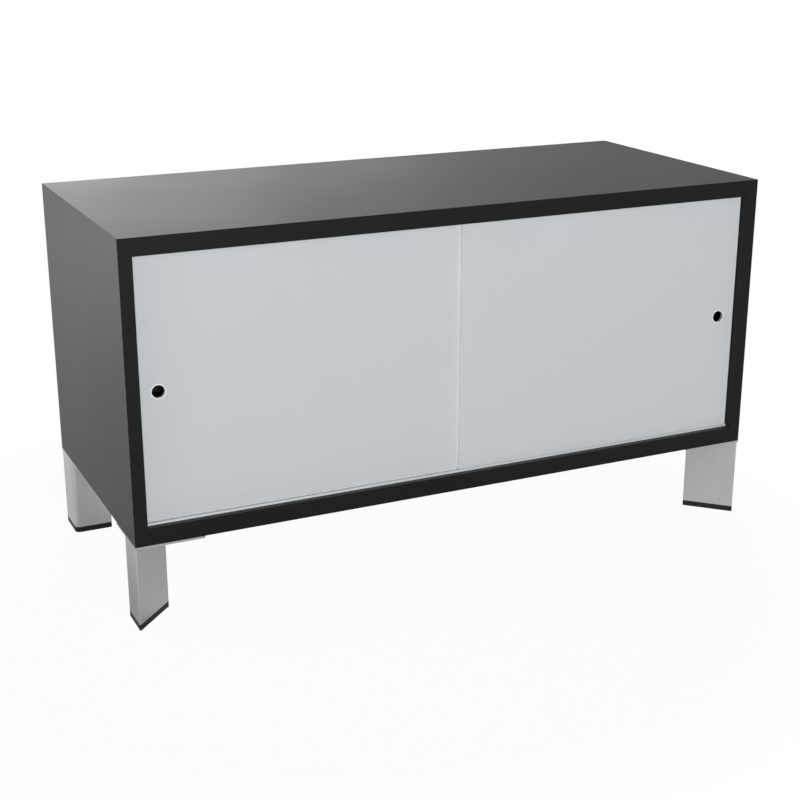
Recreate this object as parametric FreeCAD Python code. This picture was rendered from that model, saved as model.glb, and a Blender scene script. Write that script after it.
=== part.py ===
"""Low cabinet with two sliding doors, on four triangular metal legs.

Millimetres. The origin is on the floor under the middle of the cabinet, X runs to the right, Y to
the back and Z up, so the doors face -Y. Each node is one STEP file in parts/.
"""
import FreeCAD, Part

import math
import os

# ---------------------------------------------------------------- driving dimensions
# Carcass
cabinet_width = 1000.0
cabinet_depth = 432.0
carcass_height = 425.0
leg_height = 125.0
side_thickness = 19.0
top_thickness = 25.0
bottom_thickness = 25.0
corner_radius = 0.8
edging_thickness = 1.0
edging_arris = 0.4

# Back panel, held in grooves
back_thickness = 8.0
back_recess = 10.0
back_groove_depth = 8.0
back_groove_play = 0.5
back_face_play = 0.1

# Loose tongues in the mitred corners
tongue_thickness = 4.0
tongue_width = 14.0
tongue_share_from_inside = 0.4
tongue_front_margin = 30.0
tongue_back_margin = 15.0
tongue_play = 0.05

# Door tracks, let in flush with the boards
track_setback = 10.0
track_wall = 2.0
track_web = 1.0
track_floor = 1.5
track_fit_play = 0.1
track_end_play = 0.5
lower_channel_depth = 3.0

# Doors
door_thickness = 5.0
door_side_play = 0.5
door_floor_play = 0.3
door_top_entry = 5.0
door_lift_spare = 0.8
door_overlap = 3.0
door_edge_radius = 0.5

# Finger holes with their rings
ring_bore = 18.0
ring_wall = 0.75
ring_flange_diameter = 21.5
ring_flange_thickness = 0.8
ring_seat_depth = 0.5
ring_seat_play = 0.1
ring_back_recess = 0.3
ring_round = 0.25
finger_hole_inset = 28.5
finger_hole_height = 210.3

# Buffers that the doors close on
buffer_proud = 1.0
buffer_diameter = 5.0
buffer_stem_diameter = 3.0
buffer_stem_length = 6.0
buffer_stem_play = 0.05
buffer_margin = 60.0
buffer_door_play = 0.2

# Divider and shelves
divider_thickness = 19.0
divider_setback = 1.5
dowel_diameter = 8.0
dowel_length = 30.0
dowel_play = 0.05
dowel_end_play = 0.5
dowel_margin = 50.0
dowel_count = 3
shelf_thickness = 19.0
shelf_setback = 12.0
shelf_end_play = 1.0
shelf_back_play = 1.0

# Shelf pins and their rows of holes
pin_diameter = 5.0
pin_play = 0.05
pin_hole_depth = 8.0
pin_end_play = 0.5
pin_tongue_length = 8.0
pin_tongue_width = 6.0
pin_row_margin = 50.0
pin_hole_pitch = 32.0
pin_holes_each_way = 2

# Leg plates and their screws
plate_size = 99.0
plate_thickness = 3.0
plate_corner_radius = 1.0
plate_screw_margin = 24.0
screw_diameter = 4.0
screw_head_diameter = 8.0
screw_length = 17.0
screw_point_length = 3.0
screw_point_share = 0.3
screw_play = 0.05
screw_slot_width = 1.0
screw_slot_length = 5.0
screw_slot_depth = 0.8

# Legs and feet
leg_side = 60.0
leg_wall = 3.0
leg_square_corner_radius = 8.0
leg_sharp_corner_radius = 1.5
foot_height = 9.0
foot_plug_height = 12.0
foot_plug_play = 0.3
foot_arris = 0.5

# ---------------------------------------------------------------- places worked out from them
left = -cabinet_width / 2
right = cabinet_width / 2
front = -cabinet_depth / 2
back = cabinet_depth / 2
under = leg_height
over = leg_height + carcass_height

inner_left = left + side_thickness
inner_right = right - side_thickness
inner_under = under + bottom_thickness
inner_over = over - top_thickness
board_front = front + edging_thickness
back_panel_rear = back - back_recess
back_panel_front = back_panel_rear - back_thickness

channel_width = door_thickness + 2 * door_side_play
lower_track_height = track_floor + lower_channel_depth
lower_hold = lower_channel_depth - door_floor_play
upper_channel_depth = door_top_entry + lower_hold + door_lift_spare
upper_track_height = track_floor + upper_channel_depth
track_front = front + track_setback
front_channel = track_front + track_wall
rear_channel = front_channel + channel_width + track_web
track_back = rear_channel + channel_width + track_wall

door_low = inner_under - lower_hold
door_high = inner_over + door_top_entry
front_door_face = front_channel + door_side_play
rear_door_face = rear_channel + door_side_play
door_outer_end = inner_right - buffer_proud - buffer_door_play
door_inner_end = -door_overlap / 2
finger_hole_z = under + finger_hole_height
finger_hole_x = door_outer_end - finger_hole_inset

divider_front = track_back + divider_setback
shelf_front = divider_front + shelf_setback
shelf_back = back_panel_front - shelf_back_play
shelf_middle = (inner_under + inner_over) / 2
shelf_low = shelf_middle - shelf_thickness / 2
pin_centre_z = shelf_low - pin_diameter / 2
pin_rows = (shelf_front + pin_row_margin, shelf_back - pin_row_margin)

plate_low = under - plate_thickness
corners = {
    "front_left": (-1, -1),
    "front_right": (1, -1),
    "back_left": (-1, 1),
    "back_right": (1, 1),
}


# ---------------------------------------------------------------- helpers
def block(x0, x1, y0, y1, z0, z1):
    """A box between two corners."""
    return Part.makeBox(x1 - x0, y1 - y0, z1 - z0, FreeCAD.Vector(x0, y0, z0))


def rod(radius, start, direction, length):
    """A round bar from a point along a direction."""
    return Part.makeCylinder(radius, length, FreeCAD.Vector(*start), FreeCAD.Vector(*direction))


def spread(first, last, count):
    """Evenly spaced places from the first to the last."""
    step = (last - first) / (count - 1)
    return [first + step * index for index in range(count)]


def prism_along_y(points, y0, y1):
    """A prism whose section is a polygon of (x, z) points, between two depths."""
    ring = [FreeCAD.Vector(x, y0, z) for x, z in points]
    face = Part.Face(Part.makePolygon(ring + ring[:1]))
    return face.extrude(FreeCAD.Vector(0, y1 - y0, 0))


def rounded_outline(points, radii, z):
    """A closed wire through (x, y) points at a height, each corner rounded to its radius."""
    corners_xyz = [FreeCAD.Vector(x, y, z) for x, y in points]
    count = len(corners_xyz)
    arcs = []
    for index in range(count):
        corner = corners_xyz[index]
        to_last = (corners_xyz[index - 1] - corner).normalize()
        to_next = (corners_xyz[(index + 1) % count] - corner).normalize()
        half_angle = to_last.getAngle(to_next) / 2
        tangent_length = radii[index] / math.tan(half_angle)
        bisector = (to_last + to_next).normalize()
        centre = corner + bisector * (radii[index] / math.sin(half_angle))
        start = corner + to_last * tangent_length
        end = corner + to_next * tangent_length
        arcs.append((start, centre - bisector * radii[index], end))
    edges = []
    for index in range(count):
        edges.append(Part.Arc(*arcs[index]).toShape())
        edges.append(Part.makeLine(arcs[index][2], arcs[(index + 1) % count][0]))
    return Part.Wire(edges)


def rounded_prism(points, radii, z0, z1):
    """An upright prism with a rounded polygon as its section."""
    face = Part.Face(rounded_outline(points, radii, z0))
    return face.extrude(FreeCAD.Vector(0, 0, z1 - z0))


def at_corner(corner, from_side, from_end):
    """The (x, y) place at a distance from the cabinet's side and from its front or back."""
    side_sign, end_sign = corners[corner]
    return side_sign * (right - from_side), end_sign * (back - from_end)


def mirrored_x(shape):
    """The shape's mirror image on the other half of the cabinet."""
    return shape.mirror(FreeCAD.Vector(0, 0, 0), FreeCAD.Vector(1, 0, 0))


def save(name, shape):
    """Write one node."""
    shape.exportStep("parts/" + name + ".step")


# ---------------------------------------------------------------- carcass
def mitred_sections():
    """The four boards' sections in (x, z), mitred from the inner to the outer corner."""
    outer = [(left, under), (right, under), (right, over), (left, over)]
    inner = [
        (inner_left, inner_under),
        (inner_right, inner_under),
        (inner_right, inner_over),
        (inner_left, inner_over),
    ]
    names = ["bottom", "right", "top", "left"]
    sections = {}
    for index, name in enumerate(names):
        follower = (index + 1) % 4
        sections[name] = [outer[index], outer[follower], inner[follower], inner[index]]
    return sections


def carcass_hull():
    """The carcass as one block with its long corners rounded."""
    hull = block(left, right, front, back, under, over)
    long_edges = [edge for edge in hull.Edges if abs(edge.BoundBox.YLength - cabinet_depth) < 1e-6]
    return hull.makeFillet(corner_radius, long_edges)


def front_frame():
    """The edging of all four boards as one frame, before it is cut at the mitres."""
    frame = carcass_hull().common(block(left, right, front, board_front, under, over))
    frame = frame.cut(block(inner_left, inner_right, front, board_front, inner_under, inner_over))
    face_edges = [edge for edge in frame.Edges if edge.BoundBox.YMax < front + 1e-6]
    return frame.makeChamfer(edging_arris, face_edges)


def tongue_at(side_sign, end_sign, play):
    """A loose tongue through one mitre, square to it, grown by a play for its groove."""
    inner_z = inner_over if end_sign > 0 else inner_under
    board_thickness = top_thickness if end_sign > 0 else bottom_thickness
    mitre_x = side_sign * (inner_right + tongue_share_from_inside * side_thickness)
    mitre_z = inner_z + end_sign * tongue_share_from_inside * board_thickness
    tongue = block(
        -tongue_width / 2 - play,
        tongue_width / 2 + play,
        board_front + tongue_front_margin - play,
        back_panel_front - tongue_back_margin + play,
        -tongue_thickness / 2 - play,
        tongue_thickness / 2 + play,
    )
    slope = math.degrees(math.atan2(side_thickness, board_thickness))
    tongue.rotate(FreeCAD.Vector(0, 0, 0), FreeCAD.Vector(0, 1, 0), side_sign * end_sign * slope)
    tongue.translate(FreeCAD.Vector(mitre_x, 0, mitre_z))
    return tongue


def tongues(play):
    """The four loose tongues."""
    return [tongue_at(side, end, play) for side in (-1, 1) for end in (-1, 1)]


def back_groove():
    """The space that the back panel's grooves take out of the four boards."""
    return block(
        inner_left - back_groove_depth,
        inner_right + back_groove_depth,
        back_panel_front - back_face_play,
        back_panel_rear + back_face_play,
        inner_under - back_groove_depth,
        inner_over + back_groove_depth,
    )


def make_back_panel():
    """The back panel, a little smaller than its grooves."""
    reach = back_groove_depth - back_groove_play
    return block(
        inner_left - reach,
        inner_right + reach,
        back_panel_front,
        back_panel_rear,
        inner_under - reach,
        inner_over + reach,
    )


def plain_boards():
    """The four boards before any groove or hole is cut."""
    hull = carcass_hull()
    boards = {}
    for name, section in mitred_sections().items():
        board = prism_along_y(section, board_front, back).common(hull)
        boards[name] = board.cut(Part.makeCompound([back_groove()] + tongues(tongue_play)))
    return boards


def front_edgings():
    """The edging strip of each board."""
    frame = front_frame()
    strips = {}
    for name, section in mitred_sections().items():
        strips[name] = frame.common(prism_along_y(section, front, board_front))
    return strips


# ---------------------------------------------------------------- tracks and doors
def track(shell_low, shell_high, channel_low, channel_high):
    """A double channel track between two heights, open along its channels."""
    body = block(
        inner_left + track_end_play,
        inner_right - track_end_play,
        track_front + track_fit_play,
        track_back - track_fit_play,
        shell_low,
        shell_high,
    )
    for channel in (front_channel, rear_channel):
        body = body.cut(
            block(
                inner_left,
                inner_right,
                channel,
                channel + channel_width,
                channel_low,
                channel_high,
            )
        )
    return body


def track_groove(z0, z1):
    """The groove that a track is let into."""
    return block(inner_left, inner_right, track_front, track_back, z0, z1)


def finger_ring(x, face):
    """The flanged ring of a finger hole, its flange a little proud of the door's front face."""
    barrel_radius = ring_bore / 2 + ring_wall
    flange_front = face + ring_seat_depth - ring_flange_thickness
    barrel_end = face + door_thickness - ring_back_recess
    centre = (x, flange_front, finger_hole_z)
    inward = (0, 1, 0)
    ring = rod(ring_flange_diameter / 2, centre, inward, ring_flange_thickness)
    ring = ring.fuse(rod(barrel_radius, centre, inward, barrel_end - flange_front))
    ring = ring.cut(rod(ring_bore / 2, centre, inward, barrel_end - flange_front))
    face_edges = [edge for edge in ring.Edges if edge.BoundBox.YMax < flange_front + 1e-6]
    return ring.makeFillet(ring_round, face_edges)


def door_panel(x0, x1, face, hole_x):
    """A door with rounded edges, its finger hole and the seat of the ring's flange."""
    panel = block(x0, x1, face, face + door_thickness, door_low, door_high)
    panel = panel.makeFillet(door_edge_radius, panel.Edges)
    hole_radius = ring_bore / 2 + ring_wall + ring_seat_play
    seat_radius = ring_flange_diameter / 2 + ring_seat_play
    centre = (hole_x, face, finger_hole_z)
    panel = panel.cut(rod(hole_radius, centre, (0, 1, 0), door_thickness))
    return panel.cut(rod(seat_radius, centre, (0, 1, 0), ring_seat_depth))


def buffer_places():
    """The side, depth and height of each buffer: one of each pair for each track."""
    half_door = door_thickness / 2
    depths = (front_door_face + half_door, rear_door_face + half_door)
    heights = (inner_under + buffer_margin, inner_over - buffer_margin)
    return [(side, y, z) for side in (-1, 1) for y in depths for z in heights]


def buffer_at(side, y, z):
    """A flat rubber button with a stem in the side board."""
    centre = (side * (inner_right - buffer_proud), y, z)
    outward = (side, 0, 0)
    head = rod(buffer_diameter / 2, centre, outward, buffer_proud)
    return head.fuse(rod(buffer_stem_diameter / 2, centre, outward, buffer_proud + buffer_stem_length))


def buffer_hole(side, y, z):
    """The hole for a buffer's stem."""
    radius = buffer_stem_diameter / 2 + buffer_stem_play
    return rod(radius, (side * inner_right, y, z), (side, 0, 0), buffer_stem_length + buffer_stem_play)


# ---------------------------------------------------------------- divider and shelves
def dowel_places():
    """The depth and height of each divider dowel's middle."""
    depths = spread(divider_front + dowel_margin, back_panel_front - dowel_margin, dowel_count)
    return [(y, z) for y in depths for z in (inner_under, inner_over)]


def dowel_at(y, z, play, end_play):
    """A dowel across the joint of the divider and a board, grown by a play for its hole."""
    length = dowel_length + 2 * end_play
    return rod(dowel_diameter / 2 + play, (0, y, z - length / 2), (0, 0, 1), length)


def pin_hole_heights():
    """The heights of the holes in each row, the shelf's own pin in the middle."""
    steps = range(-pin_holes_each_way, pin_holes_each_way + 1)
    return [pin_centre_z + pin_hole_pitch * step for step in steps]


def pin_walls():
    """The faces that carry shelf pins: x of the face, and the way into the wood."""
    half = divider_thickness / 2
    return [(inner_left, -1), (-half, 1), (half, -1), (inner_right, 1)]


def pin_holes():
    """All the rows of shelf pin holes as one shape."""
    holes = []
    radius = pin_diameter / 2 + pin_play
    for face_x, inward in pin_walls():
        for y in pin_rows:
            for z in pin_hole_heights():
                holes.append(rod(radius, (face_x, y, z), (inward, 0, 0), pin_hole_depth))
    return Part.makeCompound(holes)


def shelf_pin(face_x, inward, y):
    """A pin in its hole with a flat tongue under the shelf."""
    peg = rod(pin_diameter / 2, (face_x, y, pin_centre_z), (inward, 0, 0), pin_hole_depth - pin_end_play)
    tip_x = face_x - inward * pin_tongue_length
    tongue = block(
        min(face_x, tip_x),
        max(face_x, tip_x),
        y - pin_tongue_width / 2,
        y + pin_tongue_width / 2,
        shelf_low - pin_diameter,
        shelf_low,
    )
    return peg.fuse(tongue)


def make_divider():
    """The centre divider behind the doors, with its dowel and pin holes."""
    half = divider_thickness / 2
    divider = block(
        -half,
        half,
        divider_front + edging_thickness,
        back_panel_front,
        inner_under,
        inner_over,
    )
    dowel_holes = [dowel_at(y, z, dowel_play, dowel_end_play) for y, z in dowel_places()]
    return divider.cut(Part.makeCompound(dowel_holes)).cut(pin_holes())


def shelf_parts():
    """The right shelf and its edging."""
    x0 = divider_thickness / 2 + shelf_end_play
    x1 = inner_right - shelf_end_play
    z1 = shelf_low + shelf_thickness
    edge_back = shelf_front + edging_thickness
    shelf = block(x0, x1, edge_back, shelf_back, shelf_low, z1)
    edging = block(x0, x1, shelf_front, edge_back, shelf_low, z1)
    return shelf, edging


# ---------------------------------------------------------------- legs
def plate_screw_places(corner):
    """The (x, y) places of a plate's four screws, all outside the leg."""
    far = plate_size - plate_screw_margin
    middle = plate_size / 2
    offsets = [
        (far, plate_screw_margin),
        (middle, plate_screw_margin),
        (far, far),
        (plate_screw_margin, far),
    ]
    return [at_corner(corner, from_side, from_end) for from_side, from_end in offsets]


def screw_body(x, y, play):
    """A countersunk screw from below, without its slot, grown by a play for its hole."""
    shank_radius = screw_diameter / 2 + play
    head_radius = screw_head_diameter / 2 + play
    head_height = head_radius - shank_radius
    shank_end = screw_length - screw_point_length
    base = FreeCAD.Vector(x, y, plate_low)
    up = FreeCAD.Vector(0, 0, 1)
    head = Part.makeCone(head_radius, shank_radius, head_height, base, up)
    shank = Part.makeCylinder(shank_radius, shank_end, base, up)
    point_base = FreeCAD.Vector(x, y, plate_low + shank_end)
    point = Part.makeCone(
        shank_radius, shank_radius * screw_point_share, screw_point_length + play, point_base, up
    )
    return head.fuse(shank).fuse(point)


def plate_screw(x, y):
    """One screw with a crossed slot in its head."""
    half_length = screw_slot_length / 2
    half_width = screw_slot_width / 2
    top = plate_low + screw_slot_depth
    along = block(x - half_length, x + half_length, y - half_width, y + half_width, plate_low, top)
    across = block(x - half_width, x + half_width, y - half_length, y + half_length, plate_low, top)
    return screw_body(x, y, 0).cut(along.fuse(across))


def make_plate(corner):
    """The square mounting plate in one corner under the carcass."""
    offsets = [(0, 0), (plate_size, 0), (plate_size, plate_size), (0, plate_size)]
    outline = [at_corner(corner, from_side, from_end) for from_side, from_end in offsets]
    plate = rounded_prism(outline, [plate_corner_radius] * 4, plate_low, under)
    for x, y in plate_screw_places(corner):
        plate = plate.cut(screw_body(x, y, screw_play))
    return plate


def leg_section(corner, inset):
    """The leg's triangle, moved inwards by an inset, with the radius of each corner.

    The first corner is the sharp one at the cabinet's corner, the second is the square one
    on the cabinet's side, and the third is the sharp one on the inside.
    """
    sharp_shift = inset / math.tan(math.pi / 8)
    offsets = [
        (inset, sharp_shift),
        (inset, leg_side - inset),
        (leg_side - sharp_shift, leg_side - inset),
    ]
    smallest = min(leg_sharp_corner_radius, leg_square_corner_radius) / 2
    sharp_radius = max(leg_sharp_corner_radius - inset, smallest)
    square_radius = max(leg_square_corner_radius - inset, smallest)
    points = [at_corner(corner, from_side, from_end) for from_side, from_end in offsets]
    return points, [sharp_radius, square_radius, sharp_radius]


def make_leg_tube(corner):
    """The hollow three-sided leg between the foot and the plate."""
    outer = rounded_prism(*leg_section(corner, 0), foot_height, plate_low)
    hollow = rounded_prism(*leg_section(corner, leg_wall), foot_height, plate_low)
    return outer.cut(hollow)


def make_foot(corner):
    """The foot: a pad of the leg's outline with a plug inside the tube."""
    pad = rounded_prism(*leg_section(corner, 0), 0, foot_height)
    floor_edges = [edge for edge in pad.Edges if edge.BoundBox.ZMax < 1e-6]
    pad = pad.makeFillet(foot_arris, floor_edges)
    plug_top = foot_height + foot_plug_height
    plug = rounded_prism(*leg_section(corner, leg_wall + foot_plug_play), foot_height, plug_top)
    return pad.fuse(plug)


# ---------------------------------------------------------------- the cabinet
def build_carcass():
    """Write the boards, their edgings, the tongues and the back panel."""
    boards = plain_boards()
    lower_groove = track_groove(inner_under - lower_track_height, inner_under)
    upper_groove = track_groove(inner_over, inner_over + upper_track_height)
    dowel_holes = [dowel_at(y, z, dowel_play, dowel_end_play) for y, z in dowel_places()]
    stem_holes = [buffer_hole(*place) for place in buffer_places()]
    side_holes = Part.makeCompound(stem_holes + [pin_holes()])
    screw_holes = []
    for corner in corners:
        screw_holes += [screw_body(x, y, screw_play) for x, y in plate_screw_places(corner)]
    save("bottom_panel", boards["bottom"].cut(Part.makeCompound([lower_groove] + dowel_holes + screw_holes)))
    save("top_panel", boards["top"].cut(Part.makeCompound([upper_groove] + dowel_holes)))
    save("left_side_panel", boards["left"].cut(side_holes))
    save("right_side_panel", boards["right"].cut(side_holes))
    for name, strip in front_edgings().items():
        save(name + "_front_edging", strip)
    save("mitre_tongues", Part.makeCompound(tongues(0)))
    save("back_panel", make_back_panel())


def build_inside():
    """Write the divider, the shelves and what holds them."""
    half = divider_thickness / 2
    edge_back = divider_front + edging_thickness
    save("centre_divider", make_divider())
    save("divider_edging", block(-half, half, divider_front, edge_back, inner_under, inner_over))
    save("divider_dowels", Part.makeCompound([dowel_at(y, z, 0, 0) for y, z in dowel_places()]))
    shelf, edging = shelf_parts()
    save("right_shelf", shelf)
    save("right_shelf_edging", edging)
    save("left_shelf", mirrored_x(shelf))
    save("left_shelf_edging", mirrored_x(edging))
    pins = [shelf_pin(face_x, inward, y) for face_x, inward in pin_walls() for y in pin_rows]
    save("shelf_pins", Part.makeCompound(pins))


def build_doors():
    """Write the tracks, the doors with their rings, and the buffers."""
    lower_floor = inner_under - lower_channel_depth
    upper_roof = inner_over + upper_channel_depth
    save("lower_track", track(inner_under - lower_track_height, inner_under, lower_floor, inner_under))
    save("upper_track", track(inner_over, inner_over + upper_track_height, inner_over, upper_roof))
    save("right_door_panel", door_panel(door_inner_end, door_outer_end, front_door_face, finger_hole_x))
    save("right_finger_ring", finger_ring(finger_hole_x, front_door_face))
    save("left_door_panel", door_panel(-door_outer_end, -door_inner_end, rear_door_face, -finger_hole_x))
    save("left_finger_ring", finger_ring(-finger_hole_x, rear_door_face))
    save("door_buffers", Part.makeCompound([buffer_at(*place) for place in buffer_places()]))


def build_legs():
    """Write the plates, the legs, the feet and the screws."""
    screws = []
    for corner in corners:
        save(corner + "_leg_plate", make_plate(corner))
        save(corner + "_leg_tube", make_leg_tube(corner))
        save(corner + "_leg_foot", make_foot(corner))
        screws += [plate_screw(x, y) for x, y in plate_screw_places(corner)]
    save("leg_screws", Part.makeCompound(screws))


os.makedirs("parts", exist_ok=True)
build_carcass()
build_inside()
build_doors()
build_legs()
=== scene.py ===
"""Low cabinet with two sliding doors: its finishes, its fine pieces and the studio round it.

Metres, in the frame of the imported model: X runs to the right, Y to the back and Z up, with the
origin on the floor under the middle of the cabinet, so the doors face -Y.
"""

import logging
from collections.abc import Iterable
from dataclasses import dataclass
from enum import Enum
from functools import cached_property, partialmethod
from math import atan2, cos, pi, sin, tau
from typing import Any

import bmesh
import bpy
from bmesh.types import BMEdge, BMVert
from mathutils import Euler, Matrix, Vector


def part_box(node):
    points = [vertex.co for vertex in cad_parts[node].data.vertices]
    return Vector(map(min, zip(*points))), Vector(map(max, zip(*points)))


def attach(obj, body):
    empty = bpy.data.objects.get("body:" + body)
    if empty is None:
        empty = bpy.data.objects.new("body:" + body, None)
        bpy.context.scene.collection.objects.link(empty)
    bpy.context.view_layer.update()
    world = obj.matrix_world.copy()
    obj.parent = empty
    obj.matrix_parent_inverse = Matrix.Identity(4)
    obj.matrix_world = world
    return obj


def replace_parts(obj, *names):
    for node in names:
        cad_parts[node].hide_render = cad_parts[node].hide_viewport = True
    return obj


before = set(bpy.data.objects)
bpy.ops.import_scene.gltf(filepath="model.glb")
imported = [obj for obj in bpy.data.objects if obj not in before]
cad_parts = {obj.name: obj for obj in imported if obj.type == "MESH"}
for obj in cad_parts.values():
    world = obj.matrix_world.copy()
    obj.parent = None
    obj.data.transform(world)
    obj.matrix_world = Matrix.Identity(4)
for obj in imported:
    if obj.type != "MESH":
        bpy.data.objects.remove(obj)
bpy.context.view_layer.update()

log = logging.getLogger("cabinet")

Material = bpy.types.Material
Colour = tuple[float, float, float]
Place = tuple[float, float, float]
Pair = tuple[float, float]
Outline = Iterable[Pair]

MM = 0.001
MERGE_REACH = 0.0005 * MM
SHARP_ANGLE = pi / 5
EASING_STEPS = 2
RIDGE_SHARE = 0.7
NOISE_MIDDLE = 0.5
WHITE = (1.0, 1.0, 1.0, 1.0)
# The colour sockets of a Mix node go by number, because several share a name.
MIX_FIRST, MIX_SECOND, MIX_RESULT = 6, 7, 2


class Corner(Enum):
    """The four corners that carry a leg, by their signs along X and Y."""

    FRONT_LEFT = (-1, -1)
    FRONT_RIGHT = (1, -1)
    BACK_LEFT = (-1, 1)
    BACK_RIGHT = (1, 1)

    def node(self, kind: str) -> str:
        """Return the name of the plate, tube or foot in this corner."""
        return f"{self.name.lower()}_leg_{kind}"

    def under_plate(self, from_side: float, from_end: float) -> Place:
        """Find a place on the underside of this corner's plate.

        Args:
            from_side: Its distance from the plate's outer edge along X.
            from_end: Its distance from the plate's outer edge along Y.

        Returns:
            The place.
        """
        across, along = self.value
        low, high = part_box(self.node("plate"))
        edge_x = high.x if across > 0 else low.x
        edge_y = high.y if along > 0 else low.y
        return edge_x - across * from_side, edge_y - along * from_end, low.z


class Facing(Enum):
    """The way that a piece's own Z axis points. Where that is level, its own -X points up."""

    UP = Matrix.Identity(4)
    RIGHT = Matrix.Rotation(pi / 2, 4, "Y")
    LEFT = Matrix.Rotation(pi, 4, "Z") @ Matrix.Rotation(pi / 2, 4, "Y")

    def at(self, place: Iterable[float]) -> Matrix:
        """Return the matrix that turns a piece this way and takes it to a place."""
        return Matrix.Translation(Vector(place)) @ self.value


class Grain(Enum):
    """The way a brushed or drawn surface runs, as the stretch of its noise along X, Y and Z."""

    ALONG_X = (6.0, 1100.0, 1100.0)
    ALONG_Y = (1100.0, 6.0, 1100.0)
    ALONG_Z = (1100.0, 1100.0, 6.0)
    NONE = (900.0, 900.0, 900.0)


# ---- shader building
class Wire:
    """An output socket that takes part in Python arithmetic, each operation adding a Math node."""

    def __init__(self, recipe: "Recipe", socket: bpy.types.NodeSocket) -> None:
        """Hold the socket and the recipe that it belongs to."""
        self.recipe = recipe
        self.socket = socket

    def _math(self, operation: str, other: "Number", reflected: bool = False) -> "Wire":
        """Add a Math node of this wire and another value, which comes first if reflected."""
        inputs = {0: other, 1: self} if reflected else {0: self, 1: other}
        return self.recipe.add("Math", {"operation": operation}, inputs)

    __add__ = __radd__ = partialmethod(_math, "ADD")
    __sub__ = partialmethod(_math, "SUBTRACT")
    __rsub__ = partialmethod(_math, "SUBTRACT", reflected=True)
    __mul__ = __rmul__ = partialmethod(_math, "MULTIPLY")
    __gt__ = partialmethod(_math, "GREATER_THAN")
    least = partialmethod(_math, "MINIMUM")
    most = partialmethod(_math, "MAXIMUM")

    def between(self, low: float, high: float) -> "Wire":
        """Return a smooth step from 0 at low to 1 at high."""
        sockets = {"Value": self, "From Min": low, "From Max": high}
        return self.recipe.add("MapRange", {"interpolation_type": "SMOOTHSTEP"}, sockets)


Number = Wire | float


class Recipe:
    """The node tree of a material or of the world, and the single method that adds nodes to it."""

    def __init__(self, owner: Material | bpy.types.World) -> None:
        """Start an empty tree.

        Args:
            owner: The material or world that the tree belongs to.
        """
        self.owner = owner
        owner.use_nodes = True
        self.tree = owner.node_tree
        self.tree.nodes.clear()

    @classmethod
    def named(cls, name: str) -> "Recipe":
        """Start the recipe of a new material."""
        return cls(bpy.data.materials.new(name))

    @cached_property
    def place(self) -> Wire:
        """Return the object's own coordinates."""
        return self.add("TexCoord", {}, {}, "Object")

    def add(self, kind: str, settings: dict[str, Any], sockets: dict[Any, Any], output: Any = 0) -> Wire:
        """Add one node.

        Args:
            kind: The node's type without its ShaderNode prefix.
            settings: The node's own properties, set before its sockets.
            sockets: A value or a wire for each input, by name or number.
            output: The name or number of the output that is wanted.

        Returns:
            A wire from that output, or from nothing where the node has none.
        """
        node = self.tree.nodes.new("ShaderNode" + kind)
        for key, value in settings.items():
            setattr(node, key, value)
        for key, value in sockets.items():
            if isinstance(value, Wire):
                self.tree.links.new(value.socket, node.inputs[key])
            else:
                node.inputs[key].default_value = value
        return Wire(self, node.outputs[output] if node.outputs else None)

    def noise(self, scale: float, detail: float = 2.0, where: Wire | None = None) -> Wire:
        """Return a noise about zero, of so many features per metre and so many octaves."""
        sockets = {"Vector": where or self.place, "Scale": scale, "Detail": detail}
        return self.add("TexNoise", {}, sockets) - NOISE_MIDDLE

    def grain(self, direction: Grain) -> Wire:
        """Return fine streaks about zero that run along a direction."""
        stretched = self.add("Mapping", {}, {"Vector": self.place, "Scale": direction.value})
        return self.noise(1.0, detail=3.0, where=stretched)

    def along(self, axis: str, vector: Wire | None = None) -> Wire:
        """Return one coordinate of a vector, or of the object's own place if there is none."""
        return self.add("SeparateXYZ", {}, {0: vector or self.place}, axis)

    def vector(self, operation: str, first: Any, second: Any, output: Any = 0) -> Wire:
        """Return a Vector Math operation on two vectors."""
        return self.add("VectorMath", {"operation": operation}, {0: first, 1: second}, output)

    def blend(self, share: Number, first: Any, second: Any) -> Wire:
        """Return a colour between two, all of the second one where the share is 1."""
        sockets = {"Factor": share, MIX_FIRST: first, MIX_SECOND: second}
        return self.add("Mix", {"data_type": "RGBA"}, sockets, MIX_RESULT)

    def shade(self, colour: Wire | Colour, tone: Wire) -> Wire:
        """Return a colour scaled by a tone about 1."""
        return self.add("VectorMath", {"operation": "SCALE"}, {0: colour, "Scale": tone})

    def depths(self, low: Vector, high: Vector) -> tuple[Wire, Wire]:
        """Measure how far a point lies under a box's faces.

        Args:
            low: The box's lowest corner.
            high: The box's highest corner.

        Returns:
            The distance to the nearest face plane, and to the next nearest, which on the box's
            surface is the distance to the nearest edge.
        """
        centred = self.vector("SUBTRACT", self.place, (low + high) / 2)
        folded = self.add("VectorMath", {"operation": "ABSOLUTE"}, {0: centred})
        under = self.vector("SUBTRACT", (high - low) / 2, folded)
        x, y, z = (self.along(axis, under) for axis in "XYZ")
        smaller = x.least(y)
        return smaller.least(z), smaller.most(x.most(y).least(z))

    def close(self, **sockets: Any) -> Material:
        """Add the Principled shader, its inputs named with underscores for spaces, and the output."""
        named = {key.replace("_", " "): value for key, value in sockets.items()}
        return self.finish(self.add("BsdfPrincipled", {}, named))

    def finish(self, shader: Wire) -> Material:
        """Add the material's output and return the material."""
        self.add("OutputMaterial", {}, {"Surface": shader})
        return self.owner


def rgba(colour: Colour) -> tuple[float, float, float, float]:
    """Return a colour with full alpha."""
    return (*colour, 1.0)


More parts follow.
